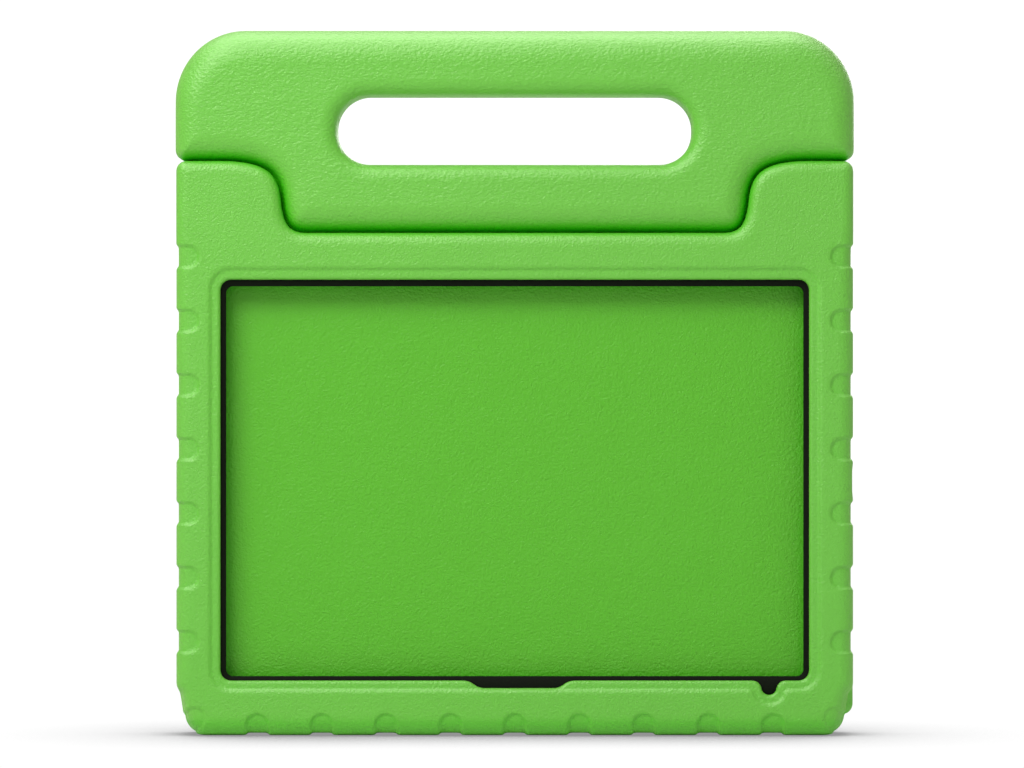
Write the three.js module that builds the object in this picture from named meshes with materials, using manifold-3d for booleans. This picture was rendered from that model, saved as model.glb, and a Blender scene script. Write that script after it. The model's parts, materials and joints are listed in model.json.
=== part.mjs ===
// A children's tablet case of moulded EVA foam with a folding carrying handle.
// Millimetres, +Z up. The case stands on its bottom edge: the origin is the middle of that edge,
// the window faces -Y and the handle's hinge runs along X.
import * as THREE from 'three'
import { mergeVertices } from 'three/addons/utils/BufferGeometryUtils.js'
import Module from 'manifold-3d'

const wasm = await Module()
wasm.setup()

// Driving dimensions of the outer form.
const thickness = 28
const frontY = -thickness / 2
const backY = thickness / 2
const caseHalfWidth = 135.2
const handleHalfWidth = 135.8
const postTopZ = 229.7
const recessFloorZ = 201
const handleTopZ = 282
const edgeRounding = 3.5
const bottomCorner = { across: 14, up: 20 }
const fullBottomCorner = { across: 13, up: 13 }
const postCornerRadius = 4
const earCornerRadius = 4
const handleTopCornerRadius = 28
const bevelSteps = 2

// How far a cutting tool runs past the surface that it cuts, and past the whole case.
const past = 1
const farPast = 60

// The hand slot in the handle.
const slotHalfWidth = 71
const slotBottomZ = 228
const slotTopZ = 255.2

// The window, the stepped lip round it and the pocket that holds the tablet.
const windowBox = { halfWidth: 117.4, low: 22.1, high: 182, corner: 4 }
const stepBox = { halfWidth: 121.4, low: 18.4, high: 186.4, corner: 8 }
const pocketBox = { halfWidth: 121.3, low: 17.6, high: 185.6, corner: 5 }
const lipFrontY = frontY + 1
const lipBackY = lipFrontY + 2.2
const partingY = 7
const partingGap = 0.3
const fitGap = 0.3

// The black surround behind the lip, caught in a groove round the front of the pocket.
const surroundBox = { halfWidth: 123.4, low: 13.2, high: 188.2, corner: 5.7 }
const surroundSeat = { halfWidth: 123.7, low: 12.9, high: 188.5, corner: 6 }
const surroundWindow = { halfWidth: 115.2, low: 23.8, high: 179.4, corner: 2.8 }
const surroundThickness = 1

// The back cover: a raised panel fills the pocket, and the outside is dished.
const panelBox = { halfWidth: 120.9, low: 18, high: 185.2, corner: 4.6 }
const panelFrontY = -1
const dishBox = { halfWidth: 117, low: 18, high: 186, corner: 12 }
const dishFloorY = backY - 4

// Notches through the lip below the window.
const wideNotch = { centre: 1.7, topHalf: 20.1, bottomHalf: 15.85, depth: 3 }
const roundNotch = { centre: 101.4, radius: 3.3, depth: 6.2, mouthHalf: 6.3, border: 4 }

// Grip grooves that run over the edges of the case.
const grooveRadius = 4
const grooveDepth = 1
const grooveReach = 9
const grooveLength = 16
const grooveSegments = 6
const sideGrooves = { count: 7, lowest: 37.6, pitch: 25.6 }
const bottomGrooves = { count: 9, pitch: 25.7 }
const cornerGroove = { x: 127.8, z: 7.2 }

// The charging port's opening in the right side wall.
const port = { z: 101.6, halfLength: 7.5, radius: 4.2, y: -5.2 }

// The hinge. Its axis lies in the parting plane, and the handle folds back from upright.
const hingeY = partingY
const hingeZ = 214
const foldLimit = THREE.MathUtils.degToRad(120)
const seamGap = 0.5
const reliefReach = 4.2
const shaftRadius = 2.5
const runningGap = 0.3
const pin = { inner: 71, outer: 113, headRadius: 5, headLength: 2.8 }
const sleeve = { inner: 96.5, outer: 108.3, radius: 4.5 }
const washer = { inner: 108.6, outer: 109.9, radius: 5 }
const socket = { inner: 68.6, outer: 91.2, radius: 4, floor: 2 }

// The seam between case and handle, on the right half: flat along the recess, an S up the post's
// flank and flat again over the post.
const seamFoot = new THREE.Vector2(83, recessFloorZ)
const seamWaist = new THREE.Vector2(93.3, hingeZ + 0.5)
const seamHead = new THREE.Vector2(118, postTopZ)
const seamCurves = [
  new THREE.CubicBezierCurve(
    seamFoot, new THREE.Vector2(90, recessFloorZ), new THREE.Vector2(92.3, 204), seamWaist),
  new THREE.CubicBezierCurve(
    seamWaist, new THREE.Vector2(94.5, 224), new THREE.Vector2(98, postTopZ), seamHead)
]
const seamSteps = 7
const turningSegments = 32
const smallSegments = 24

// Points along the seam from its foot to its head, moved sideways; positive is towards the handle.
function seamPoints (offset) {
  const points = []
  for (const curve of seamCurves) {
    const first = curve === seamCurves[0] ? 0 : 1
    for (let i = first; i <= seamSteps; i++) {
      const tangent = curve.getTangent(i / seamSteps)
      const normal = new THREE.Vector2(-tangent.y, tangent.x)
      points.push(curve.getPoint(i / seamSteps).addScaledVector(normal, offset))
    }
  }
  return points
}

// A quarter of an ellipse round a centre, from one angle to the next quarter, in radians.
function quarter (centreX, centreZ, radiusX, radiusZ, from, steps) {
  const points = []
  for (let i = 0; i <= steps; i++) {
    const angle = from + i / steps * Math.PI / 2
    points.push(new THREE.Vector2(
      centreX + radiusX * Math.cos(angle), centreZ + radiusZ * Math.sin(angle)))
  }
  return points
}

// A closed outline from its right half, listed anticlockwise from bottom to top. The left half is
// the mirror of it, or of a half of its own.
function mirrored (rightHalf, leftSource = rightHalf) {
  const leftHalf = leftSource.slice().reverse().map((p) => new THREE.Vector2(-p.x, p.y))
  return new THREE.Shape([...rightHalf, ...leftHalf])
}

function caseHalf ({ across, up }) {
  const topZ = postTopZ - seamGap / 2
  const radius = postCornerRadius
  return [
    ...quarter(caseHalfWidth - across, up, across, up, -Math.PI / 2, 7),
    ...quarter(caseHalfWidth - radius, topZ - radius, radius, radius, 0, 4),
    ...seamPoints(-seamGap / 2).reverse()
  ]
}

function handleOutline () {
  const right = handleHalfWidth
  const bottomZ = postTopZ + seamGap / 2
  const ear = earCornerRadius
  const top = handleTopCornerRadius
  const outline = mirrored([
    ...seamPoints(seamGap / 2),
    ...quarter(right - ear, bottomZ + ear, ear, ear, -Math.PI / 2, 4),
    ...quarter(right - top, handleTopZ - top, top, top, 0, 9)
  ])
  const slotRadius = (slotTopZ - slotBottomZ) / 2
  const slotZ = slotBottomZ + slotRadius
  const slotEnd = slotHalfWidth - slotRadius
  outline.holes.push(new THREE.Path(mirrored([
    ...quarter(slotEnd, slotZ, slotRadius, slotRadius, -Math.PI / 2, 5),
    ...quarter(slotEnd, slotZ, slotRadius, slotRadius, 0, 5)
  ]).getPoints()))
  return outline
}

// A rectangle centred on X = 0 with round corners.
function roundedBox ({ halfWidth, low, high, corner }) {
  return mirrored([
    ...quarter(halfWidth - corner, low + corner, corner, corner, -Math.PI / 2, 4),
    ...quarter(halfWidth - corner, high - corner, corner, corner, 0, 4)
  ])
}

// A closed geometry becomes a solid for cutting and joining.
function solid (geometry) {
  geometry.deleteAttribute('normal')
  geometry.deleteAttribute('uv')
  const merged = mergeVertices(geometry, 1e-4)
  return new wasm.Manifold(new wasm.Mesh({
    numProp: 3,
    vertProperties: new Float32Array(merged.attributes.position.array),
    triVerts: new Uint32Array(merged.index.array)
  }))
}

// A front-view outline (X, Z) carried through the depth from nearY to farY.
function plate (outline, nearY, farY) {
  const geometry = new THREE.ExtrudeGeometry(outline, {
    depth: farY - nearY, bevelEnabled: false, curveSegments: smallSegments / 3
  })
  geometry.rotateX(Math.PI / 2)
  geometry.translate(0, farY, 0)
  return solid(geometry)
}

// The same through the whole thickness, drawn in by an inset and with its edges rounded.
function pillow (outline, inset) {
  const geometry = new THREE.ExtrudeGeometry(outline, {
    depth: thickness - 2 * edgeRounding,
    bevelThickness: edgeRounding - inset,
    bevelSize: edgeRounding - inset,
    bevelOffset: -edgeRounding,
    bevelSegments: bevelSteps,
    curveSegments: 1
  })
  geometry.rotateX(Math.PI / 2)
  geometry.translate(0, backY - edgeRounding, 0)
  return solid(geometry)
}

// A side-view outline (Y, Z) carried along X.
function bar (outline, fromX, toX) {
  const geometry = new THREE.ExtrudeGeometry(outline, {
    depth: toX - fromX, bevelEnabled: false, curveSegments: 6
  })
  geometry.applyMatrix4(new THREE.Matrix4().makeBasis(
    new THREE.Vector3(0, 1, 0), new THREE.Vector3(0, 0, 1), new THREE.Vector3(1, 0, 0)))
  geometry.translate(fromX, 0, 0)
  return solid(geometry)
}

// A turned piece on the X axis from a profile of [distance along X, radius] pairs.
function turned (profile, segments) {
  const points = profile.map(([along, radius]) => new THREE.Vector2(radius, along))
  const geometry = new THREE.LatheGeometry(points, segments)
  geometry.rotateZ(-Math.PI / 2)
  return geometry
}

// A turned tool on the hinge line; side is 1 on the right and -1 on the left.
function hingeTool (profile, segments, side) {
  const geometry = turned(profile, segments)
  if (side < 0) geometry.rotateZ(Math.PI)
  geometry.translate(0, hingeY, hingeZ)
  return solid(geometry)
}

function rod (fromX, toX, radius) {
  return [[fromX, 0], [fromX, radius], [toX, radius], [toX, 0]]
}

function tube (fromX, toX, radius, bore) {
  return [[fromX, bore], [fromX, radius], [toX, radius], [toX, bore], [fromX, bore]]
}

function unite (solids) {
  return solids.reduce((all, next) => all.add(next))
}

function cut (body, tools) {
  return tools.reduce((rest, tool) => rest.subtract(tool), body)
}

// One groove: a slot with a round inner end, pointing out of the case along a direction.
function grooveSlot (x, z, direction) {
  const slot = new THREE.Shape()
  slot.absarc(0, 0, grooveRadius, Math.PI / 2, Math.PI * 3 / 2)
  slot.lineTo(grooveLength, -grooveRadius)
  slot.lineTo(grooveLength, grooveRadius)
  const geometry = new THREE.ExtrudeGeometry(slot, {
    depth: thickness + 2 * past, bevelEnabled: false, curveSegments: grooveSegments
  })
  geometry.rotateZ(direction)
  geometry.rotateX(Math.PI / 2)
  geometry.translate(x, backY + past, z)
  return solid(geometry)
}

function grooves () {
  const slots = []
  const centreIn = grooveReach - grooveRadius
  for (let i = 0; i < sideGrooves.count; i++) {
    const z = sideGrooves.lowest + i * sideGrooves.pitch
    slots.push(grooveSlot(caseHalfWidth - centreIn, z, 0))
    slots.push(grooveSlot(centreIn - caseHalfWidth, z, Math.PI))
  }
  for (let i = 0; i < bottomGrooves.count; i++) {
    const x = (i - (bottomGrooves.count - 1) / 2) * bottomGrooves.pitch
    slots.push(grooveSlot(x, centreIn, -Math.PI / 2))
  }
  slots.push(grooveSlot(cornerGroove.x, cornerGroove.z, -Math.PI / 4))
  slots.push(grooveSlot(-cornerGroove.x, cornerGroove.z, -Math.PI * 3 / 4))
  return unite(slots)
}

// The outer form of the case with its grooves, which reach one groove depth below the surface.
function groovedCase (outline) {
  const core = pillow(outline, grooveDepth)
  return pillow(outline, 0).subtract(grooves().subtract(core))
}

function box (low, high) {
  const geometry = new THREE.BoxGeometry(high[0] - low[0], high[1] - low[1], high[2] - low[2])
  geometry.translate((low[0] + high[0]) / 2, (low[1] + high[1]) / 2, (low[2] + high[2]) / 2)
  return solid(geometry)
}

// Everything between two depths, well past the case on its other sides.
function halfSpace (nearY, farY) {
  const reach = caseHalfWidth + farPast
  return box([-reach, nearY, -farPast], [reach, farY, handleTopZ + farPast])
}

// Both notches open out of the window downwards; they overlap the window a little.
function notchOutlines () {
  const top = windowBox.low + past
  const wide = new THREE.Shape([
    new THREE.Vector2(wideNotch.centre - wideNotch.bottomHalf, windowBox.low - wideNotch.depth),
    new THREE.Vector2(wideNotch.centre + wideNotch.bottomHalf, windowBox.low - wideNotch.depth),
    new THREE.Vector2(wideNotch.centre + wideNotch.topHalf, top),
    new THREE.Vector2(wideNotch.centre - wideNotch.topHalf, top)
  ])
  const { centre, radius, depth, mouthHalf } = roundNotch
  const round = new THREE.Shape()
  round.absarc(centre, windowBox.low - depth + radius, radius, Math.PI, Math.PI * 2)
  round.lineTo(centre + mouthHalf, top)
  round.lineTo(centre - mouthHalf, top)
  return [wide, round]
}

// The step's outline swings round the round notch.
function notchBorder () {
  const border = new THREE.Shape()
  const radius = roundNotch.radius + roundNotch.border
  const centreZ = windowBox.low - roundNotch.depth + roundNotch.radius
  border.absarc(roundNotch.centre, centreZ, radius, 0, Math.PI * 2)
  return border
}

// At the fold limit the handle's back face lies along a sloped line in side view. The relief is
// what lies above that line and behind frontEdge.
function foldRelief (frontEdge) {
  const reach = backY - hingeY
  const slope = 1 / Math.tan(foldLimit)
  const lineZ = (y) => hingeZ - reach / Math.sin(foldLimit) + (y - hingeY) * slope - seamGap
  const farY = backY + past
  return new THREE.Shape([
    new THREE.Vector2(frontEdge, lineZ(frontEdge)),
    new THREE.Vector2(farY, lineZ(farY)),
    new THREE.Vector2(farY, handleTopZ),
    new THREE.Vector2(frontEdge, handleTopZ)
  ])
}

// Round the hinge line, the post's back half is the seam turned about the hinge axis.
function knuckle (side) {
  const profile = seamPoints(-seamGap / 2)
    .filter((p) => p.y > hingeZ + seamGap)
    .map((p) => [p.x, p.y - hingeZ])
  const outside = caseHalfWidth + 2 * past
  const tip = profile[0][0] - past
  const radius = profile[profile.length - 1][1]
  return hingeTool(
    [[tip, 0], ...profile, [outside, radius], [outside, 0]], turningSegments, side)
}

// What the folding handle needs clear in the case, on one side.
function caseRelief (side) {
  const outside = caseHalfWidth + past
  const inside = seamFoot.x - past
  const flank = seamWaist.x + seamGap
  const behind = foldRelief(hingeY)
  const under = foldRelief(hingeY - reliefReach)
  const behindBar = side > 0 ? bar(behind, flank, outside) : bar(behind, -outside, -flank)
  const underBar = side > 0 ? bar(under, inside, flank) : bar(under, -flank, -inside)
  return behindBar.subtract(knuckle(side)).add(underBar)
}

// The seats for sleeve, washer, pin head and shaft.
function hingeSeats (side) {
  const headEnd = pin.outer + fitGap
  const seats = [
    rod(seamFoot.x, headEnd, shaftRadius + runningGap),
    rod(sleeve.inner - fitGap, sleeve.outer + fitGap / 2, sleeve.radius + fitGap),
    rod(sleeve.outer + fitGap / 2, headEnd, pin.headRadius + fitGap)
  ]
  return unite(seats.map((profile) => hingeTool(profile, smallSegments, side)))
}

function frontFrame () {
  const inFront = frontY - past
  const seatBackY = lipBackY + surroundThickness + 2 * fitGap
  const tools = [
    halfSpace(partingY - partingGap / 2, backY + past),
    plate(roundedBox(stepBox), inFront, lipFrontY),
    plate(notchBorder(), inFront, lipFrontY),
    plate(roundedBox(windowBox), inFront, backY),
    plate(roundedBox(surroundSeat), lipBackY, seatBackY),
    plate(roundedBox(pocketBox), lipBackY, backY),
    ...notchOutlines().map((outline) => plate(outline, inFront, seatBackY)),
    portOpening(),
    caseRelief(1),
    caseRelief(-1),
    hingeSeats(1),
    hingeSeats(-1)
  ]
  return cut(groovedCase(mirrored(caseHalf(bottomCorner))), tools)
}

function portOpening () {
  const slot = new THREE.Shape()
  const run = port.halfLength - port.radius
  slot.absarc(port.y, port.z + run, port.radius, 0, Math.PI)
  slot.absarc(port.y, port.z - run, port.radius, Math.PI, Math.PI * 2)
  return bar(slot, pocketBox.halfWidth - past, caseHalfWidth + past)
}

// The back moulding's right bottom corner is fuller than the front's and shows behind it.
function backCover () {
  const outline = mirrored(caseHalf(fullBottomCorner), caseHalf(bottomCorner))
  const shell = cut(groovedCase(outline), [
    halfSpace(frontY - past, partingY + partingGap / 2),
    caseRelief(1),
    caseRelief(-1),
    hingeSeats(1),
    hingeSeats(-1)
  ])
  const panel = plate(roundedBox(panelBox), panelFrontY, partingY + past)
  return shell.add(panel).subtract(plate(roundedBox(dishBox), dishFloorY, backY + past))
}

function screenSurround () {
  const nearY = lipBackY + fitGap
  const farY = nearY + surroundThickness
  const ring = plate(roundedBox(surroundBox), nearY, farY)
  return ring.subtract(plate(roundedBox(surroundWindow), nearY - past, farY + past))
}

// Behind the hinge axis the handle's underside is its own seam line turned about that axis.
function handleUnderside () {
  const profile = seamPoints(seamGap / 2)
    .filter((p) => p.y < hingeZ - seamGap)
    .map((p) => [p.x, hingeZ - p.y])
  const half = [...profile, [seamWaist.x, 0]]
  const left = half.slice().reverse().map(([along, radius]) => [-along, radius])
  const turnedSeam = hingeTool([...left, ...half], turningSegments, 1)
  const reach = seamHead.x
  const low = [-reach, hingeY, recessFloorZ - past]
  return box(low, [reach, backY + past, hingeZ]).subtract(turnedSeam)
}

function handle () {
  const tools = [handleUnderside()]
  for (const side of [1, -1]) {
    const bore = rod(socket.outer, seamHead.x, shaftRadius + runningGap)
    const seat = rod(socket.inner - fitGap, socket.outer + fitGap, socket.radius + fitGap)
    tools.push(hingeTool(bore, smallSegments, side), hingeTool(seat, smallSegments, side))
  }
  return cut(pillow(handleOutline(), 0), tools)
}

function hingePin () {
  const { inner, outer, headRadius, headLength } = pin
  const lead = 0.8
  return turned([
    [inner, 0], [inner, shaftRadius - lead], [inner + lead, shaftRadius],
    [outer - headLength, shaftRadius], [outer - headLength, headRadius],
    [outer - lead, headRadius], [outer, headRadius - lead], [outer, 0]
  ], smallSegments)
}

function hingeSleeve () {
  const { inner, outer, radius } = sleeve
  return turned(tube(inner, outer, radius, shaftRadius + runningGap), smallSegments)
}

function frictionWasher () {
  const { inner, outer, radius } = washer
  return turned(tube(inner, outer, radius, shaftRadius + runningGap), smallSegments)
}

// A cup pressed in the handle's foam; the pin is driven into its bore.
function hingeSocket () {
  const bore = shaftRadius + runningGap
  return turned([
    [socket.inner, 0], [socket.inner, socket.radius], [socket.outer, socket.radius],
    [socket.outer, bore], [socket.inner + socket.floor, bore], [socket.inner + socket.floor, 0]
  ], smallSegments)
}

const foam = { color: 0x76c14a, roughness: 0.62, metalness: 0 }
const blackPlastic = { color: 0x15180f, roughness: 0.45, metalness: 0 }
const nylon = { color: 0xe4e2d8, roughness: 0.5, metalness: 0 }
const steel = { color: 0xb9bcc0, roughness: 0.3, metalness: 1 }
const feltRubber = { color: 0x3a3a3a, roughness: 0.8, metalness: 0 }

function asGeometry (body) {
  const { vertProperties, triVerts } = body.getMesh()
  const geometry = new THREE.BufferGeometry()
  geometry.setAttribute('position', new THREE.BufferAttribute(vertProperties, 3))
  geometry.setIndex(new THREE.BufferAttribute(triVerts, 1))
  geometry.computeVertexNormals()
  return geometry
}

function named (name, geometry, finish) {
  const mesh = new THREE.Mesh(geometry, new THREE.MeshStandardMaterial(finish))
  mesh.name = name
  return mesh
}

const group = new THREE.Group()
group.add(named('front_frame', asGeometry(frontFrame()), foam))
group.add(named('back_cover', asGeometry(backCover()), foam))
group.add(named('screen_surround', asGeometry(screenSurround()), blackPlastic))
group.add(named('handle', asGeometry(handle()), foam))

for (const [name, turn] of [['right', 0], ['left', Math.PI]]) {
  const hinge = new THREE.Group()
  hinge.position.set(0, hingeY, hingeZ)
  hinge.rotation.z = turn
  hinge.add(named(`hinge_pin_${name}`, hingePin(), steel))
  hinge.add(named(`hinge_sleeve_${name}`, hingeSleeve(), nylon))
  hinge.add(named(`friction_washer_${name}`, frictionWasher(), feltRubber))
  hinge.add(named(`hinge_socket_${name}`, hingeSocket(), nylon))
  group.add(hinge)
}

export default group
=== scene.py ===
"""A children's tablet case of moulded green foam, standing with its carrying handle upright.

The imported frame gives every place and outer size. The foam mouldings are written as distance
fields in millimetres, negative inside the foam, and turned into smooth meshes on a grid. Fields
take x, y and z as arrays that broadcast together. The window faces -Y and the hinge runs along X.
"""

import json
import math

import bpy
import numpy as np
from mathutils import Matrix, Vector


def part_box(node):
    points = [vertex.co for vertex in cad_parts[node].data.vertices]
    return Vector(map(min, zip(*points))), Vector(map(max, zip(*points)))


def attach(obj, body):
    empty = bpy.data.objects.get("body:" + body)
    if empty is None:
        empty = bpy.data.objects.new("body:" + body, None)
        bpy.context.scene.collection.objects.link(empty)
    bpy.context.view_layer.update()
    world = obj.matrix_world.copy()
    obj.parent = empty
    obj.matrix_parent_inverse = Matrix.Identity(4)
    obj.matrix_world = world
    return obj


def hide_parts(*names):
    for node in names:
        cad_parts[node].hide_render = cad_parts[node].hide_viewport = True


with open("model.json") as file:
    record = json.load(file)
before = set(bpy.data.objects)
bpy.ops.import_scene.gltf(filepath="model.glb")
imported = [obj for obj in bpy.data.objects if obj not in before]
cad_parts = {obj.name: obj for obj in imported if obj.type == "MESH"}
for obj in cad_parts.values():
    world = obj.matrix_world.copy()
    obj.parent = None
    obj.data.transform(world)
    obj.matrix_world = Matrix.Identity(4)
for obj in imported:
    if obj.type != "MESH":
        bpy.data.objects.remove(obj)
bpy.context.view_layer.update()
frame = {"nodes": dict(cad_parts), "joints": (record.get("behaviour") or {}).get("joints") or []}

MM = 0.001


def box_mm(node):
    """A CAD node's lowest and highest corners in millimetres."""
    low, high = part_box(node)
    return np.array(low) / MM, np.array(high) / MM


# Places and sizes that the frame gives.
_, front_high = box_mm("front_frame")
back_low, back_high = box_mm("back_cover")
handle_low, handle_high = box_mm("handle")
ring_low, ring_high = box_mm("screen_surround")
fold = frame["joints"][0]
HINGE_Y, HINGE_Z = (value / MM for value in fold["pos_m"][1:])
FOLD_LIMIT = math.radians(fold["range_deg"][1])
HALF_DEPTH = back_high[1]
CASE_HALF = front_high[0]
CASE_TOP = front_high[2]
HANDLE_HALF = handle_high[0]
HANDLE_FOOT = handle_low[2]
HANDLE_TOP = handle_high[2]
PARTING_FRONT = front_high[1]
PARTING_BACK = 2 * HINGE_Y - PARTING_FRONT

# The seam between handle and case, as in the CAD: a gap, and an S between two flats.
SEAM_GAP = 0.5
RECESS_Z = HANDLE_FOOT - SEAM_GAP / 2
POST_Z = CASE_TOP + SEAM_GAP / 2
SEAM_WAIST = (93.3, HINGE_Z + 0.5)
SEAM_CURVES = (
    ((83, RECESS_Z), (90, RECESS_Z), (92.3, 204), SEAM_WAIST),
    (SEAM_WAIST, (94.5, 224), (98, POST_Z), (118, POST_Z)),
)
SEAM_STEPS = 22
# Between its lips the seam steps down into the case by this much, so that no light comes through.
# Each fade is the place where the step is full, then the place where it has gone.
SEAM_STEP = 1.0
STEP_FADE_OUT = (CASE_HALF - 10, CASE_HALF - 5)
STEP_FADE_DOWN = (RECESS_Z - 3, RECESS_Z - 6)
STEP_FADE_UP = (CASE_TOP + 6, CASE_TOP + 10)
STEP_FADE_FRONT = (-4, -6.5)
STEP_FADE_BACK = (-1.5, 1)

# Corner radii of the outlines, seen from the front.
POST_CORNER = 4.0
EAR_CORNER = 4.0
CROWN_CORNER = 28.0

# How far the soft edges reach in from the outline.
PILLOW_POWER = 2.3
SIDE_EDGE = 6.5
BOTTOM_EDGE = 8.0
POST_EDGE = 5.0
CROWN_EDGE = 14.0
EAR_EDGE = 11.0
TONGUE_EDGE = 12.0
BACK_SEAM_EDGE = 4.0  # at the back, tighter, to cover the hinge pins
SLOT_EDGE = 7.0
PARTING_EDGE = 0.5
RIM_EDGE = 1.4
# Where one edge gives way to the next: the place where it is full, then where it has gone.
BOTTOM_FADE = (4, 24)
POST_FADE = (205, 185)
CROWN_FADE = (268, 248)
TONGUE_FADE_UP = (206, 216)
TONGUE_FADE_OUT = (84, 92)
# Small roundings: the lip's step at its foot and its brow, the surround's seat, the port, the
# tablet's panel, the dish behind it, and the hinge relief on each moulding.
STEP_FOOT_EDGE = 0.5
STEP_BROW_EDGE = 0.7
SEAT_EDGE = 0.3
PORT_EDGE = 1.2
PANEL_EDGE = 0.6
DISH_EDGE = 2.0
FRONT_RELIEF_EDGE, BACK_RELIEF_EDGE, HANDLE_RELIEF_EDGE = 0.8, 1.2, 0.6

# The window, its stepped lip, the surround's seat and the tablet's pocket: half width, low, high,
# corner radius.
WINDOW = (117.4, 22.1, 182.0, 4.2)
STEP = (121.3, 18.4, 186.3, 8.0)
SEAT = (ring_high[0] + 0.3, ring_low[2] - 0.3, ring_high[2] + 0.3, 6.0)
POCKET = (121.3, 17.6, 185.6, 5.0)
PANEL = (120.9, 18.0, 185.2, 4.6)
PANEL_Y = back_low[1]
DISH = (117.0, 18.0, 186.0, 12.0)
DISH_Y = HALF_DEPTH - 4
LIP_Y = -HALF_DEPTH + 1
LIP_BACK_Y = LIP_Y + 2.2
SEAT_BACK_Y = ring_high[1] + 0.3
STEP_SLOPE = 0.8

# Notches through the lip.
WIDE_NOTCH_X, WIDE_NOTCH_TOP, WIDE_NOTCH_FOOT, WIDE_NOTCH_DEPTH = 1.7, 20.1, 15.8, 3.0
ROUND_NOTCH_X, ROUND_NOTCH_RADIUS, ROUND_NOTCH_DEPTH = 101.4, 3.3, 6.0
ROUND_NOTCH_BORDER = 3.4
ROUND_NOTCH_THROAT, ROUND_NOTCH_FLARE = 3.0, 0.15
NOTCH_OVERLAP = 3
WIDE_NOTCH_FILLET, ROUND_NOTCH_FILLET = 1.2, 3.2

# Grip grooves: a floor and a soft wall on either side of a line that runs over the edge.
GROOVE_DEPTH = 0.95
GROOVE_FLOOR = 3.5
GROOVE_FLARE = 5.1
SIDE_REACH = 8.4
BOTTOM_REACH = 8.0
SIDE_PITCH, SIDE_FIRST, SIDE_COUNT = 25.6, 37.6, 7
BOTTOM_PITCH, BOTTOM_COUNT = 25.7, 9
CORNER_GROOVE = (CASE_HALF - 7.7, 7.1)
CORNER_DEPTH = 0.7

# Hinge seats in the foam: first x, last x, radius. The relief is what the folding handle needs.
CASE_SEATS = ((90.0, 113.3, 2.8), (96.2, 108.45, 4.8), (108.45, 113.3, 5.3))
HANDLE_SEATS = ((90.0, 96.0, 2.8), (68.3, 91.5, 4.3))
RELIEF_REACH = 4.2
RELIEF_GAP = 1.0

# The port opening in the right wall: middle height, half length, end radius, middle depth.
PORT_Z, PORT_HALF, PORT_RADIUS, PORT_Y = 101.6, 7.5, 4.2, -5.2

# The surround's opening: half width, low, high, corner radius; then its other roundings.
RING_OPENING = (115.2, 23.8, 179.4, 2.8)
RING_CORNER = 5.7
RING_EDGE = 0.2

# The hand slot: half width, low, high, corner radius.
SLOT = (71.0, 228.0, 255.6, 13.3)


# ---------------------------------------------------------------- fields


def meet(a, b, radius=0.0):
    """Inside both, with the edge between them rounded."""
    corner = np.hypot(np.maximum(radius + a, 0), np.maximum(radius + b, 0))
    return np.minimum(-radius, np.maximum(a, b)) + corner


def pillow(a, b, reach):
    """Inside both, with an edge that swells softly out of the flats over the given reach."""
    across, along = np.maximum(reach + a, 0), np.maximum(reach + b, 0)
    corner = (across**PILLOW_POWER + along**PILLOW_POWER) ** (1 / PILLOW_POWER)
    return np.minimum(-reach, np.maximum(a, b)) + corner


def join(a, b, radius=0.0):
    """Inside either, with a fillet between them."""
    return -meet(-a, -b, radius)


def ramp(value, start, end):
    """Smoothly from 1 at start to 0 at end."""
    t = np.clip((value - end) / (start - end), 0, 1)
    return t * t * (3 - 2 * t)


def rounded_box(x, z, box):
    """A rectangle centred on x = 0 with round corners."""
    half, low, high, corner = box
    across = np.abs(x) - (half - corner)
    up = np.abs(z - (low + high) / 2) - ((high - low) / 2 - corner)
    outside = np.hypot(np.maximum(across, 0), np.maximum(up, 0))
    return outside + np.minimum(np.maximum(across, up), 0) - corner


def arc(centre, radii, start, end, steps):
    """Points on an ellipse, angles in degrees."""
    angles = np.radians(np.linspace(start, end, steps + 1))
    return [
        (centre[0] + radii[0] * math.cos(a), centre[1] + radii[1] * math.sin(a))
        for a in angles
    ]


def seam_points(offset):
    """Points along the seam on the right half; a positive offset is towards the handle."""
    points = []
    for curve in SEAM_CURVES:
        p0, p1, p2, p3 = (np.array(p, dtype=float) for p in curve)
        for t in np.linspace(0, 1, SEAM_STEPS + 1)[len(points) > 0 :]:
            s = 1 - t
            place = s**3 * p0 + 3 * s * s * t * p1 + 3 * s * t * t * p2 + t**3 * p3
            along = s * s * (p1 - p0) + 2 * s * t * (p2 - p1) + t * t * (p3 - p2)
            along /= np.hypot(*along)
            points.append((place[0] - along[1] * offset, place[1] + along[0] * offset))
    return points


def outline_distance(points, x, z):
    """Distance to a symmetrical outline whose right half is given from its bottom to its top."""
    x, z = np.broadcast_arrays(np.abs(x), z)
    nearest = np.full(x.shape, np.inf)
    inside = np.zeros(x.shape, dtype=bool)
    for (x0, z0), (x1, z1) in zip(points[:-1], points[1:]):
        dx, dz = x1 - x0, z1 - z0
        px, pz = x - x0, z - z0
        t = np.clip((px * dx + pz * dz) / (dx * dx + dz * dz), 0, 1)
        nearest = np.minimum(nearest, (px - t * dx) ** 2 + (pz - t * dz) ** 2)
        if dz != 0:
            inside ^= ((z0 > z) != (z1 > z)) & (px < pz * dx / dz)
    return np.where(inside, -1, 1) * np.sqrt(nearest)


# The top of the case's right half: the post's corner, then the seam down to the recess.
CASE_SHOULDER = [
    *arc((CASE_HALF - POST_CORNER, CASE_TOP - POST_CORNER), (POST_CORNER, POST_CORNER), 0, 90, 8),
    *reversed(seam_points(-SEAM_GAP / 2)),
    (0, RECESS_Z - SEAM_GAP / 2),
]


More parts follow.
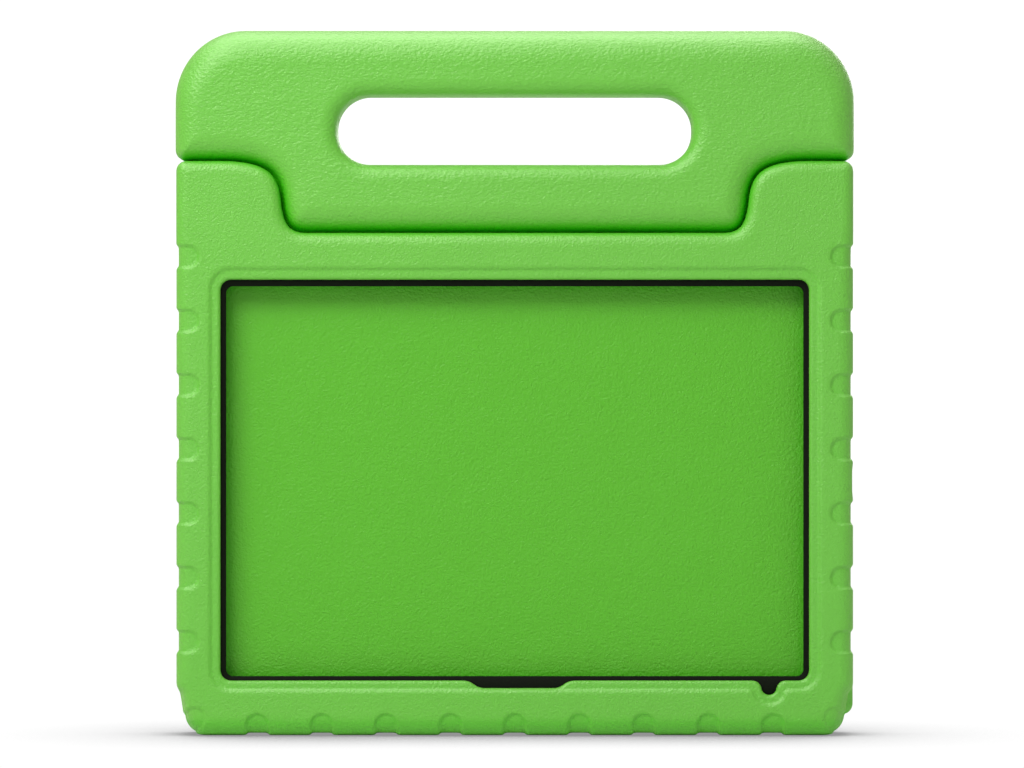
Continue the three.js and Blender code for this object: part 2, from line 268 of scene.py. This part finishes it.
def scooped_corner(depth):
    """A bottom corner with a shallow scoop above its round, to the given depth at its foot."""
    points = [(0, 0), *arc((CASE_HALF - depth - ROUND, ROUND), (ROUND, ROUND), -90, 0, 12)]
    for z in np.linspace(ROUND, SCOOP_TOP, 13)[1:]:
        floor = CASE_HALF - depth + (z - ROUND) * SCOOP_LEAN
        points.append((floor + (CASE_HALF - floor) * float(ramp(z, SCOOP_TOP, SCOOP_RISE)), z))
    return points


# Both mouldings are scooped at the foot of their sides, the front one more deeply and only
# ahead of SCOOP_Y.
ROUND = 8.4
SCOOP_RISE = 16.4
SCOOP_TOP = 20.4
SCOOP_LEAN = 0.16
SCOOP_Y = -7.5
FRONT_CORNER = scooped_corner(3.4)
BACK_CORNER = scooped_corner(2.7)
# The back moulding's fuller right side: half width, low, high, corner radius.
FULL_SIDE = (CASE_HALF, 8.2, 180, 4.5)
HANDLE_HALF_OUTLINE = [
    (0, HANDLE_FOOT),
    *seam_points(SEAM_GAP / 2),
    *arc((HANDLE_HALF - EAR_CORNER, POST_Z + SEAM_GAP / 2 + EAR_CORNER), (EAR_CORNER, EAR_CORNER),
         -90, 0, 8),
    *arc((HANDLE_HALF - CROWN_CORNER, HANDLE_TOP - CROWN_CORNER), (CROWN_CORNER, CROWN_CORNER),
         0, 90, 20),
    (0, HANDLE_TOP),
]


def back_outline(x, y, z):
    """The back moulding has a fuller side on the right only."""
    left = outline_distance(BACK_CORNER + CASE_SHOULDER, x, z)
    return np.where(x > 0, np.minimum(left, rounded_box(x, z, FULL_SIDE)), left)


def front_outline(x, y, z):
    """The front moulding is scooped along its front edge and follows the back one behind it."""
    scooped = outline_distance(FRONT_CORNER + CASE_SHOULDER, x, z)
    return scooped + (back_outline(x, y, z) - scooped) * ramp(y, SCOOP_Y + 1.5, SCOOP_Y)


def handle_outline(x, z):
    return outline_distance(HANDLE_HALF_OUTLINE, x, z)


def seam_step(x, y, z):
    """How far the seam steps down into the case between its lips, so that no light comes through."""
    seam = ramp(np.abs(x), *STEP_FADE_OUT)
    seam = seam * ramp(z, *STEP_FADE_DOWN) * ramp(z, *STEP_FADE_UP)
    return SEAM_STEP * seam * ramp(y, *STEP_FADE_FRONT) * ramp(y, *STEP_FADE_BACK)


def grooves(x, z):
    """1 on a groove's floor and 0 off it, seen from the front."""
    side_end = CASE_HALF - SIDE_REACH + GROOVE_FLOOR
    last = SIDE_FIRST + (SIDE_COUNT - 1) * SIDE_PITCH
    row = np.clip(np.round((z - SIDE_FIRST) / SIDE_PITCH) * SIDE_PITCH + SIDE_FIRST, SIDE_FIRST, last)
    side = np.hypot(np.minimum(np.abs(x) - side_end, 0), z - row)
    outermost = (BOTTOM_COUNT - 1) / 2 * BOTTOM_PITCH
    column = np.clip(np.round(x / BOTTOM_PITCH) * BOTTOM_PITCH, -outermost, outermost)
    bottom = np.hypot(x - column, np.maximum(z - BOTTOM_REACH + GROOVE_FLOOR, 0))
    out, up = np.abs(x) - CORNER_GROOVE[0], z - CORNER_GROOVE[1]
    corner = np.hypot(np.minimum(out - up, 0), out + up) / math.sqrt(2)
    straight = GROOVE_DEPTH * ramp(np.minimum(side, bottom), GROOVE_FLOOR, GROOVE_FLARE)
    return straight + CORNER_DEPTH * ramp(corner, GROOVE_FLOOR, GROOVE_FLARE)


def case_form(outline, x, y, z):
    """The case's outer form, before anything is cut from it."""
    edge = SIDE_EDGE + (BOTTOM_EDGE - SIDE_EDGE) * ramp(z, *BOTTOM_FADE)
    edge = edge + (np.where(y > 0, BACK_SEAM_EDGE, POST_EDGE) - SIDE_EDGE) * ramp(z, *POST_FADE)
    form = pillow(outline(x, y, z), np.abs(y) - HALF_DEPTH, edge)
    return form + grooves(x, z) + seam_step(x, y, z)


def from_hinge(y, z):
    return np.hypot(y - HINGE_Y, z - HINGE_Z)


def seats(places, x, y, z):
    """Round holes on the hinge line, the same on both sides."""
    radius = from_hinge(y, z)
    holes = [
        np.maximum(np.abs(np.abs(x) - (first + last) / 2) - (last - first) / 2, radius - bore)
        for first, last, bore in places
    ]
    return np.minimum.reduce(np.broadcast_arrays(*holes))


def fold_relief(x, y, z):
    """What the folding handle sweeps through, positive inside the swept room."""
    reach = HALF_DEPTH - HINGE_Y
    line = HINGE_Z - reach / math.sin(FOLD_LIMIT) + (y - HINGE_Y) / math.tan(FOLD_LIMIT)
    above = (z - line + RELIEF_GAP) * abs(math.sin(FOLD_LIMIT))
    flank = SEAM_WAIST[0] + RELIEF_GAP
    turned = back_outline(x, y, HINGE_Z + from_hinge(y, z))
    behind = np.minimum.reduce(
        np.broadcast_arrays(y - HINGE_Y, above, np.abs(x) - flank, turned)
    )
    under = np.minimum.reduce(
        np.broadcast_arrays(y - HINGE_Y + RELIEF_REACH, above, flank - np.abs(x))
    )
    return np.maximum(behind, under)


def window_opening(x, z):
    """The window with both notches, seen from the front."""
    side = (np.abs(x - WIDE_NOTCH_X) - WIDE_NOTCH_FOOT) - (
        WIDE_NOTCH_TOP - WIDE_NOTCH_FOOT
    ) / WIDE_NOTCH_DEPTH * (z - WINDOW[1] + WIDE_NOTCH_DEPTH)
    lean = math.hypot(1, (WIDE_NOTCH_TOP - WIDE_NOTCH_FOOT) / WIDE_NOTCH_DEPTH)
    low = WINDOW[1] - WIDE_NOTCH_DEPTH - z
    wide = meet(meet(side / lean, low, 1.0), z - WINDOW[1] - NOTCH_OVERLAP)
    centre = WINDOW[1] - ROUND_NOTCH_DEPTH + ROUND_NOTCH_RADIUS
    spread = ROUND_NOTCH_THROAT + ROUND_NOTCH_FLARE * np.maximum(z - centre, 0)
    round_notch = np.hypot(x - ROUND_NOTCH_X, np.minimum(z - centre, 0)) - spread
    round_notch = meet(round_notch, z - WINDOW[1] - NOTCH_OVERLAP)
    window = rounded_box(x, z, WINDOW)
    return join(join(window, wide, WIDE_NOTCH_FILLET), round_notch, ROUND_NOTCH_FILLET)


def step_region(x, z):
    """The lip's recess, which swings round the round notch."""
    centre = WINDOW[1] - ROUND_NOTCH_DEPTH + ROUND_NOTCH_RADIUS
    border = np.hypot(x - ROUND_NOTCH_X, z - centre) - ROUND_NOTCH_RADIUS - ROUND_NOTCH_BORDER
    return join(rounded_box(x, z, STEP), border, 1.5)


def front_frame_field(x, y, z):
    form = case_form(front_outline, x, y, z)
    form = meet(form, y - PARTING_FRONT, PARTING_EDGE)
    wall = (step_region(x, z) + STEP_SLOPE * (y - LIP_Y + 0.5)) / math.hypot(1, STEP_SLOPE)
    recess = meet(wall, y - LIP_Y, STEP_FOOT_EDGE)
    form = meet(form, -recess, STEP_BROW_EDGE)
    form = meet(form, -window_opening(x, z), RIM_EDGE)
    seat = np.maximum(rounded_box(x, z, SEAT), np.abs(y - (LIP_BACK_Y + SEAT_BACK_Y) / 2)
                      - (SEAT_BACK_Y - LIP_BACK_Y) / 2)
    pocket = np.maximum(rounded_box(x, z, POCKET), LIP_BACK_Y - y)
    port = np.hypot(y - PORT_Y, np.maximum(np.abs(z - PORT_Z) - PORT_HALF + PORT_RADIUS, 0))
    port = np.maximum(port - PORT_RADIUS, POCKET[0] - 5 - x)
    form = meet(form, -port, PORT_EDGE)
    form = meet(form, -np.minimum(seat, pocket), SEAT_EDGE)
    form = meet(form, fold_relief(x, y, z), FRONT_RELIEF_EDGE)
    return np.maximum(form, -seats(CASE_SEATS, x, y, z))


def back_cover_field(x, y, z):
    form = case_form(back_outline, x, y, z)
    form = meet(form, PARTING_BACK - y, PARTING_EDGE)
    form = meet(form, fold_relief(x, y, z), BACK_RELIEF_EDGE)
    panel_depth = np.maximum(PANEL_Y - y, y - HALF_DEPTH + 2)
    panel = meet(rounded_box(x, z, PANEL), panel_depth, PANEL_EDGE)
    form = np.minimum(form, panel)
    dish = meet(rounded_box(x, z, DISH), DISH_Y - y, DISH_EDGE)
    form = meet(form, -dish, DISH_EDGE)
    return np.maximum(form, -seats(CASE_SEATS, x, y, z))


def handle_edge(x, y, z):
    """How far the handle's front and back edges are rounded, by place."""
    tongue = ramp(z, *TONGUE_FADE_UP) * ramp(np.abs(x), *TONGUE_FADE_OUT)
    low = np.where(y > 0, BACK_SEAM_EDGE, EAR_EDGE + (TONGUE_EDGE - EAR_EDGE) * tongue)
    return low + (CROWN_EDGE - low) * ramp(z, *CROWN_FADE)


def handle_field(x, y, z):
    across = np.abs(y) - HALF_DEPTH
    form = pillow(handle_outline(x, z) - seam_step(x, y, z), across, handle_edge(x, y, z))
    form = np.maximum(form, pillow(-rounded_box(x, z, SLOT), across, SLOT_EDGE))
    turned = handle_outline(x, HINGE_Z - from_hinge(y, z))
    under = np.minimum.reduce(np.broadcast_arrays(y - HINGE_Y, HINGE_Z - z, turned))
    form = meet(form, under, HANDLE_RELIEF_EDGE)
    return np.maximum(form, -seats(HANDLE_SEATS, x, y, z))


# ---------------------------------------------------------------- meshes


CELL_CORNERS = [(a, b, c) for a in (0, 1) for b in (0, 1) for c in (0, 1)]
CELL_ENDS = [slice(0, -1), slice(1, None)]


def crossing_points(values, cells, grid):
    """A point in each cell: the mean of the places where the surface crosses the cell's edges."""
    total = np.zeros((len(cells), 3))
    crossings = np.zeros(len(cells))
    for start in CELL_CORNERS:
        for axis in range(3):
            if start[axis] == 1:
                continue
            near = cells + start
            far = near.copy()
            far[:, axis] += 1
            v0, v1 = values[tuple(near.T)], values[tuple(far.T)]
            crossed = (v0 < 0) != (v1 < 0)
            t = np.where(crossed, v0 / np.where(crossed, v0 - v1, 1), 0)
            for k in range(3):
                a, b = grid[k][near[:, k]], grid[k][far[:, k]]
                total[:, k] += np.where(crossed, a + (b - a) * t, 0)
            crossings += crossed
    return total / crossings[:, None]


def quads_across(axis, inside, number):
    """A quad, facing outwards, for each grid edge along one axis that the surface crosses."""
    lower = [slice(None)] * 3
    upper = [slice(None)] * 3
    lower[axis], upper[axis] = CELL_ENDS
    starts = inside[tuple(lower)]
    edges = np.argwhere(starts != inside[tuple(upper)])
    u, v = (axis + 1) % 3, (axis + 2) % 3
    around = []
    for du, dv in ((-1, -1), (0, -1), (0, 0), (-1, 0)):
        cell = edges.copy()
        cell[:, u] += du
        cell[:, v] += dv
        around.append(number[tuple(cell.T)])
    quads = np.stack(around, axis=1)
    flip = ~starts[tuple(edges.T)]
    quads[flip] = quads[flip][:, ::-1]
    return quads


def polygonise(field, xs, ys, zs):
    """Points and quads of the field's surface on a grid: one point to each cell it crosses."""
    shape = (len(xs), len(ys), len(zs))
    values = np.broadcast_to(
        field(xs[:, None, None], ys[None, :, None], zs[None, None, :]), shape
    )
    inside = values < 0
    ends = [tuple(CELL_ENDS[side] for side in corner) for corner in CELL_CORNERS]
    count = sum(inside[end].astype(np.int8) for end in ends)
    cells = np.argwhere((count > 0) & (count < 8))
    number = np.full(count.shape, -1, dtype=np.int64)
    number[tuple(cells.T)] = np.arange(len(cells))
    quads = [quads_across(axis, inside, number) for axis in range(3)]
    return crossing_points(values, cells, (xs, ys, zs)), np.concatenate(quads)


TETRAHEDRON = np.array([(1, -1, -1), (-1, -1, 1), (-1, 1, -1), (1, 1, 1)], dtype=float)


def slope_at(field, points, step):
    """The field and its gradient at points, from four places round each."""
    gradient = np.zeros_like(points)
    mean = np.zeros(len(points))
    for corner in TETRAHEDRON:
        value = field(*(points + step * corner).T)
        gradient += value[:, None] * corner
        mean += value / 4
    return mean, gradient / (4 * step)


def settle(field, points, rounds=3, longest=0.8):
    """Moves points onto the field's zero surface and returns them with their normals."""
    for _ in range(rounds):
        value, gradient = slope_at(field, points, 0.02)
        size = np.maximum((gradient**2).sum(axis=1), 0.25)
        move = np.clip(value / size, -longest, longest)
        points = points - move[:, None] * gradient
    _, gradient = slope_at(field, points, 0.25)
    length = np.maximum(np.linalg.norm(gradient, axis=1), 1e-6)
    return points, gradient / length[:, None]


def levels(*stretches):
    """Grid levels: each stretch is (start, end, spacing) and joins the next."""
    values = [np.array([stretches[0][0]])]
    for start, end, spacing in stretches:
        steps = max(1, round((end - start) / spacing))
        values.append(np.linspace(start, end, steps + 1)[1:])
    return np.concatenate(values)


def mesh_object(name, points, faces, normals=None):
    mesh = bpy.data.meshes.new(name)
    mesh.from_pydata((points * MM).tolist(), [], faces.tolist())
    mesh.polygons.foreach_set("use_smooth", [True] * len(mesh.polygons))
    if normals is not None:
        mesh.normals_split_custom_set_from_vertices(normals.tolist())
    mesh.update()
    piece = bpy.data.objects.new(name, mesh)
    bpy.context.collection.objects.link(piece)
    return piece


def moulding(name, field, xs, ys, zs):
    """A foam piece from its field."""
    points, quads = polygonise(field, xs, ys, zs)
    points, normals = settle(field, points)
    return mesh_object(name, points, quads, normals)


def flat_ring(name, outer, inner, near_y, far_y, edge):
    """A flat frame with rounded edges, between two round-cornered rectangles."""
    steps = 14

    def loop(box, grow):
        half, low, high, corner = box
        half, low, high, corner = half + grow, low - grow, high + grow, corner + grow
        right, top, bottom = half - corner, high - corner, low + corner
        quarters = ((right, bottom, -90), (right, top, 0), (-right, top, 90), (-right, bottom, 180))
        return [
            point
            for x, z, start in quarters
            for point in arc((x, z), (corner, corner), start, start + 90, steps)
        ]

    section = [(inner, 0, near_y + edge), (inner, edge, near_y), (outer, -edge, near_y),
               (outer, 0, near_y + edge), (outer, 0, far_y - edge), (outer, -edge, far_y),
               (inner, edge, far_y), (inner, 0, far_y - edge)]
    points = [(x, y, z) for box, grow, y in section for x, z in loop(box, grow)]
    around = 4 * (steps + 1)
    faces = [
        (a * around + i, b * around + i, b * around + (i + 1) % around, a * around + (i + 1) % around)
        for a, b in ((k, (k + 1) % len(section)) for k in range(len(section)))
        for i in range(around)
    ]
    return mesh_object(name, np.array(points), np.array(faces))


# ---------------------------------------------------------------- materials

FOAM_LIGHT = (0.103, 0.58, 0.005)
FOAM_DARK = (0.096, 0.555, 0.004)
# Painted shade: the darker green of the recessed pocket floor.
FOAM_POCKET_SHADE = (0.092, 0.52, 0.004)
# Painted shade: the deeper green that the foam's creases are painted.
FOAM_CREASE_SHADE = (0.045, 0.58, 0.002)
FOAM_ROUGH = 0.5
FOAM_SHINE = 0.64
FOAM_IOR = 1.8
SHINE_TINT = (1, 1, 0.85, 1)
SHEEN = 0.2
SHEEN_ROUGHNESS = 0.8
SHEEN_TINT = (1, 1, 0.5, 1)
CREASE_REACH = 10
SURROUND_BLACK = (0.006, 0.009, 0.004)
NYLON = (0.78, 0.76, 0.7)
RUBBER = (0.03, 0.03, 0.03)
STEEL_LIGHT = (0.60, 0.61, 0.63)
STEEL_DARK = (0.48, 0.49, 0.51)


def new_material(name):
    material = bpy.data.materials.new(name)
    material.use_nodes = True
    nodes, links = material.node_tree.nodes, material.node_tree.links
    nodes.clear()
    output = nodes.new("ShaderNodeOutputMaterial")
    shader = nodes.new("ShaderNodeBsdfPrincipled")
    links.new(shader.outputs["BSDF"], output.inputs["Surface"])
    place = nodes.new("ShaderNodeTexCoord").outputs["Object"]
    return material, nodes, links, shader, place


def noise(nodes, links, place, size_mm, detail=2.0, roughness=0.5):
    """A noise pattern whose features are about size_mm across."""
    node = nodes.new("ShaderNodeTexNoise")
    node.inputs["Scale"].default_value = 1 / (size_mm * MM)
    node.inputs["Detail"].default_value = detail
    node.inputs["Roughness"].default_value = roughness
    links.new(place, node.inputs["Vector"])
    return node.outputs["Fac"]


def cells(nodes, links, place, size_mm, smoothness=0.6):
    """Pebbles about size_mm across."""
    node = nodes.new("ShaderNodeTexVoronoi")
    node.feature = "SMOOTH_F1"
    node.inputs["Scale"].default_value = 1 / (size_mm * MM)
    node.inputs["Smoothness"].default_value = smoothness
    links.new(place, node.inputs["Vector"])
    return node.outputs["Distance"]


def remap(nodes, links, value, low, high):
    """Takes 0 to 1 into low to high."""
    node = nodes.new("ShaderNodeMapRange")
    node.inputs["To Min"].default_value = low
    node.inputs["To Max"].default_value = high
    links.new(value, node.inputs["Value"])
    return node.outputs["Result"]


def bump(nodes, links, height, depth_mm, strength, below=None):
    node = nodes.new("ShaderNodeBump")
    node.inputs["Distance"].default_value = depth_mm * MM
    node.inputs["Strength"].default_value = strength
    links.new(height, node.inputs["Height"])
    if below is not None:
        links.new(below, node.inputs["Normal"])
    return node.outputs["Normal"]


def mixed_colour(nodes, links, factor, first, second):
    """Mixes two colours, each given as numbers or as another node's output."""
    node = nodes.new("ShaderNodeMix")
    node.data_type = "RGBA"
    links.new(factor, node.inputs["Factor"])
    colour_sockets = [socket for socket in node.inputs if socket.type == "RGBA"]
    for socket, colour in zip(colour_sockets, (first, second)):
        if isinstance(colour, tuple):
            socket.default_value = (*colour, 1)
        else:
            links.new(colour, socket)
    return next(socket for socket in node.outputs if socket.type == "RGBA")


def openness(nodes, reach_mm):
    """1 where the surface lies open and towards 0 in a crease."""
    node = nodes.new("ShaderNodeAmbientOcclusion")
    node.samples = 6
    node.inputs["Distance"].default_value = reach_mm * MM
    return node.outputs["AO"]


def along(nodes, links, place, axis, start_mm, end_mm):
    """0 at start_mm and 1 at end_mm along one of the piece's axes."""
    split = nodes.new("ShaderNodeSeparateXYZ")
    links.new(place, split.inputs["Vector"])
    node = nodes.new("ShaderNodeMapRange")
    node.inputs["From Min"].default_value = start_mm * MM
    node.inputs["From Max"].default_value = end_mm * MM
    links.new(split.outputs[axis], node.inputs["Value"])
    return node.outputs["Result"]


def combined(nodes, links, operation, first, second):
    node = nodes.new("ShaderNodeMath")
    node.operation = operation
    links.new(first, node.inputs[0])
    links.new(second, node.inputs[1])
    return node.outputs["Value"]


def unshaded_part(nodes, links, place):
    """1 where the foam lies open or stands near the floor, and 0 deep in a crease: the mask for the shade
    painted into creases.
    """
    open_part = nodes.new("ShaderNodeMapRange")
    open_part.inputs["From Min"].default_value = 0.25
    open_part.inputs["From Max"].default_value = 0.9
    links.new(openness(nodes, CREASE_REACH), open_part.inputs["Value"])
    foot = remap(nodes, links, along(nodes, links, place, "Z", 14, 4), 0, 0.75)
    return combined(nodes, links, "MAXIMUM", open_part.outputs["Result"], foot)


def foam_material(name, grain_mm, relief_mm, stretch=1.0, pocket=False):
    """Moulded EVA foam with a fine leather grain. Shade is painted into its creases: a deeper green
    and weaker shine and sheen. The pocket's floor is painted a darker shade, with weaker shine."""
    material, nodes, links, shader, place = new_material(name)
    unshaded = unshaded_part(nodes, links, place)
    shine_after_shade = unshaded
    cloud = noise(nodes, links, place, 40, detail=4)
    pale = mixed_colour(nodes, links, cloud, FOAM_LIGHT, FOAM_DARK)
    # Painted shade on the recessed pocket floor: a darker green and half the shine and sheen.
    if pocket:
        outside = along(nodes, links, place, "Y", 4, 7)
        pale = mixed_colour(nodes, links, outside, FOAM_POCKET_SHADE, pale)
        shine_after_shade = combined(nodes, links, "MULTIPLY", shine_after_shade, remap(nodes, links, outside, 0.5, 1))
    # Painted shade: the colour turns a deeper green in creases.
    links.new(mixed_colour(nodes, links, unshaded, FOAM_CREASE_SHADE, pale), shader.inputs["Base Color"])
    fine = noise(nodes, links, place, grain_mm * 0.7, detail=3, roughness=0.6)
    links.new(remap(nodes, links, fine, FOAM_ROUGH - 0.06, FOAM_ROUGH + 0.06), shader.inputs["Roughness"])
    shader.inputs["IOR"].default_value = FOAM_IOR
    # Painted shade: the shine and sheen fade in creases and on the pocket floor.
    links.new(remap(nodes, links, shine_after_shade, 0, FOAM_SHINE), shader.inputs["Specular IOR Level"])
    links.new(remap(nodes, links, shine_after_shade, 0, SHEEN), shader.inputs["Sheen Weight"])
    shader.inputs["Sheen Roughness"].default_value = SHEEN_ROUGHNESS
    shader.inputs["Specular Tint"].default_value = SHINE_TINT
    shader.inputs["Sheen Tint"].default_value = SHEEN_TINT
    lying = nodes.new("ShaderNodeMapping")
    lying.inputs["Scale"].default_value = (1 / stretch, 1, 1)
    links.new(place, lying.inputs["Vector"])
    lying = lying.outputs["Vector"]
    waves = bump(nodes, links, noise(nodes, links, place, 26, detail=1), 1.2, 0.5)
    creases = noise(nodes, links, lying, grain_mm * 1.6)
    creased = bump(nodes, links, creases, relief_mm, 1.0, waves)
    pebbles = cells(nodes, links, lying, grain_mm)
    pebbled = bump(nodes, links, pebbles, relief_mm * 0.5, 1.0, creased)
    links.new(bump(nodes, links, fine, relief_mm * 0.3, 1.0, pebbled), shader.inputs["Normal"])
    return material


def plastic_material(name, colour, rough, grain_mm=0.8, shine=0.5):
    material, nodes, links, shader, place = new_material(name)
    shader.inputs["Specular IOR Level"].default_value = shine
    pattern = noise(nodes, links, place, grain_mm, detail=3)
    darker = tuple(value * 0.85 for value in colour)
    links.new(mixed_colour(nodes, links, pattern, colour, darker), shader.inputs["Base Color"])
    links.new(remap(nodes, links, pattern, rough - 0.06, rough + 0.06), shader.inputs["Roughness"])
    links.new(bump(nodes, links, pattern, 0.02, 0.3), shader.inputs["Normal"])
    return material


def steel_material(name):
    """Drawn steel with fine scratches round the pin."""
    material, nodes, links, shader, place = new_material(name)
    stretch = nodes.new("ShaderNodeMapping")
    stretch.inputs["Scale"].default_value = (12, 1, 1)
    links.new(place, stretch.inputs["Vector"])
    scratches = noise(nodes, links, stretch.outputs["Vector"], 2.0, detail=4)
    steel = mixed_colour(nodes, links, scratches, STEEL_LIGHT, STEEL_DARK)
    links.new(steel, shader.inputs["Base Color"])
    shader.inputs["Metallic"].default_value = 1.0
    links.new(remap(nodes, links, scratches, 0.25, 0.4), shader.inputs["Roughness"])
    links.new(bump(nodes, links, scratches, 0.01, 0.4), shader.inputs["Normal"])
    return material


def give(piece, material):
    piece.data.materials.clear()
    piece.data.materials.append(material)


# ---------------------------------------------------------------- pieces


# Where the grids run, a little beyond the foam. Along Y each stretch is (start, end, spacing),
# with the finest spacing where the moulding has its edges.
GRID_HALF = 137.4
CASE_HEIGHTS = (-1.4, 231)
HANDLE_HEIGHTS = (199.6, 283.6)
FRONT_DEPTHS = ((-14.9, -8.6, 0.55), (-8.6, 1.4, 1.2), (1.4, 4.9, 1.9), (4.9, 7.7, 0.7))
BACK_DEPTHS = ((-2.1, 0.4, 0.8), (0.4, 6.2, 2.0), (6.2, 15.1, 0.8))
HANDLE_DEPTHS = ((-15.1, 15.1, 1.0),)


def foam_grid(spacing, heights, depths):
    coarse = 1.0
    across = levels((-GRID_HALF, GRID_HALF, spacing * coarse))
    deep = levels(*((start, end, step * coarse) for start, end, step in depths))
    return across, deep, levels((*heights, spacing * coarse))


def build_foam():
    """The three foam mouldings, each standing for its CAD node."""
    front_grid = foam_grid(0.95, CASE_HEIGHTS, FRONT_DEPTHS)
    back_grid = foam_grid(1.25, CASE_HEIGHTS, BACK_DEPTHS)
    handle_grid = foam_grid(0.9, HANDLE_HEIGHTS, HANDLE_DEPTHS)
    frame_foam = foam_material("frame_foam", 0.8, 0.27)
    back_foam = foam_material("back_foam", 0.8, 0.32, pocket=True)
    handle_foam = foam_material("handle_foam", 0.85, 0.3, stretch=1.4)
    pieces = [
        (moulding("front_frame_foam", front_frame_field, *front_grid), "front_frame", "case", frame_foam),
        (moulding("back_cover_foam", back_cover_field, *back_grid), "back_cover", "case", back_foam),
        (moulding("handle_foam", handle_field, *handle_grid), "handle", "folding_handle", handle_foam),
    ]
    for piece, node, body, material in pieces:
        give(piece, material)
        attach(piece, body)
        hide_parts(node)


def build_surround():
    outer = (ring_high[0], ring_low[2], ring_high[2], RING_CORNER)
    depths = ring_low[1], ring_high[1]
    ring = flat_ring("screen_surround_ring", outer, RING_OPENING, *depths, RING_EDGE)
    black = plastic_material("surround_black", SURROUND_BLACK, 0.6, shine=0.08)
    give(ring, black)
    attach(ring, "case")
    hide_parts("screen_surround")


def finish_hinge_parts():
    """The hinge's hard parts keep their CAD shape and get their materials."""
    finishes = {
        "hinge_pin": steel_material("pin_steel"),
        "hinge_sleeve": plastic_material("sleeve_nylon", NYLON, 0.45),
        "hinge_socket": plastic_material("socket_nylon", NYLON, 0.45),
        "friction_washer": plastic_material("washer_rubber", RUBBER, 0.8),
    }
    for node, piece in frame["nodes"].items():
        for start, material in finishes.items():
            if node.startswith(start):
                give(piece, material)


# ---------------------------------------------------------------- stage

# The studio's glow from below and from overhead, and as the camera sees it behind the case.
WORLD_GLOW = (0.38, 0.56)
BACKDROP_GLOW = 1.1
FLOOR_GREY = 0.8
# How the floor's openness becomes its brightness, and how far it looks about for the case.
FLOOR_SHADE = {"From Min": 0.5, "From Max": 0.93, "To Min": 0.3, "To Max": 1.02}
FLOOR_REACH = 90


def build_floor():
    """A pale floor, seen as white with a soft shade where the case meets it."""
    reach = 6.0
    corners = np.array([(-1, -1, 0), (1, -1, 0), (1, 1, 0), (-1, 1, 0)]) * reach / MM
    floor = mesh_object("floor", corners, np.array([(0, 1, 2, 3)]))
    material, nodes, links, shader, _ = new_material("floor_white")
    shader.inputs["Base Color"].default_value = (FLOOR_GREY, FLOOR_GREY, FLOOR_GREY, 1)
    shader.inputs["Roughness"].default_value = 0.9
    shader.inputs["Specular IOR Level"].default_value = 0.0
    shade = nodes.new("ShaderNodeMapRange")
    for socket, value in FLOOR_SHADE.items():
        shade.inputs[socket].default_value = value
    links.new(openness(nodes, FLOOR_REACH), shade.inputs["Value"])
    white = nodes.new("ShaderNodeEmission")
    links.new(shade.outputs["Result"], white.inputs["Strength"])
    mix = nodes.new("ShaderNodeMixShader")
    links.new(nodes.new("ShaderNodeLightPath").outputs["Is Camera Ray"], mix.inputs["Fac"])
    links.new(shader.outputs["BSDF"], mix.inputs[1])
    links.new(white.outputs["Emission"], mix.inputs[2])
    output = next(node for node in nodes if node.type == "OUTPUT_MATERIAL")
    links.new(mix.outputs["Shader"], output.inputs["Surface"])
    give(floor, material)


def build_world():
    """White behind the case, and a soft studio round it that is brighter overhead."""
    world = bpy.data.worlds.new("studio")
    world.use_nodes = True
    nodes, links = world.node_tree.nodes, world.node_tree.links
    nodes.clear()
    output = nodes.new("ShaderNodeOutputWorld")
    background = nodes.new("ShaderNodeBackground")
    links.new(background.outputs["Background"], output.inputs["Surface"])
    direction = nodes.new("ShaderNodeSeparateXYZ")
    links.new(nodes.new("ShaderNodeTexCoord").outputs["Generated"], direction.inputs["Vector"])
    overhead = remap(nodes, links, direction.outputs["Z"], *WORLD_GLOW)
    seen = nodes.new("ShaderNodeLightPath").outputs["Is Camera Ray"]
    strength = nodes.new("ShaderNodeMix")
    links.new(seen, strength.inputs["Factor"])
    links.new(overhead, strength.inputs["A"])
    strength.inputs["B"].default_value = BACKDROP_GLOW
    links.new(strength.outputs["Result"], background.inputs["Strength"])
    background.inputs["Color"].default_value = (1, 1, 1, 1)
    bpy.context.scene.world = world


def area_light(name, place, aim, size, power, sheen_only=False):
    data = bpy.data.lights.new(name, "AREA")
    data.shape = "RECTANGLE"
    data.size, data.size_y = size
    data.energy = power
    lamp = bpy.data.objects.new(name, data)
    lamp.location = place
    direction = np.array(aim) - np.array(place)
    yaw = math.atan2(-direction[0], direction[1])
    tilt = math.atan2(math.hypot(direction[0], direction[1]), -direction[2])
    lamp.rotation_euler = (tilt, 0, yaw)
    lamp.visible_camera = False
    lamp.visible_diffuse = not sheen_only
    bpy.context.collection.objects.link(lamp)


def build_lights():
    middle = (0, 0, 0.15)
    area_light("softbox", (-0.50, -0.75, 0.9), middle, (0.7, 0.5), 8)
    area_light("back_softbox", (0.4, 1.2, 0.55), middle, (0.7, 0.5), 6)
    area_light("rim_strip", (-0.05, 0.12, 1.1), middle, (1.2, 0.9), 12, sheen_only=True)


# The camera stands square to the front, this far in front of the plane where the outline lies.
CAMERA_DISTANCE = 2.0
CAMERA_X, CAMERA_Z = -0.0011, 0.1404
OUTLINE_Y = -0.6 * HALF_DEPTH * MM
WIDTH_SEEN = 0.4091


def build_camera():
    data = bpy.data.cameras.new("camera")
    data.lens = data.sensor_width * CAMERA_DISTANCE / WIDTH_SEEN
    camera = bpy.data.objects.new("camera", data)
    camera.location = (CAMERA_X, OUTLINE_Y - CAMERA_DISTANCE, CAMERA_Z)
    camera.rotation_euler = (math.pi / 2, 0, 0)
    bpy.context.collection.objects.link(camera)
    bpy.context.scene.camera = camera


build_foam()
build_surround()
finish_hinge_parts()
build_floor()
build_world()
build_lights()
build_camera()
bpy.context.scene.view_settings.view_transform = "Standard"
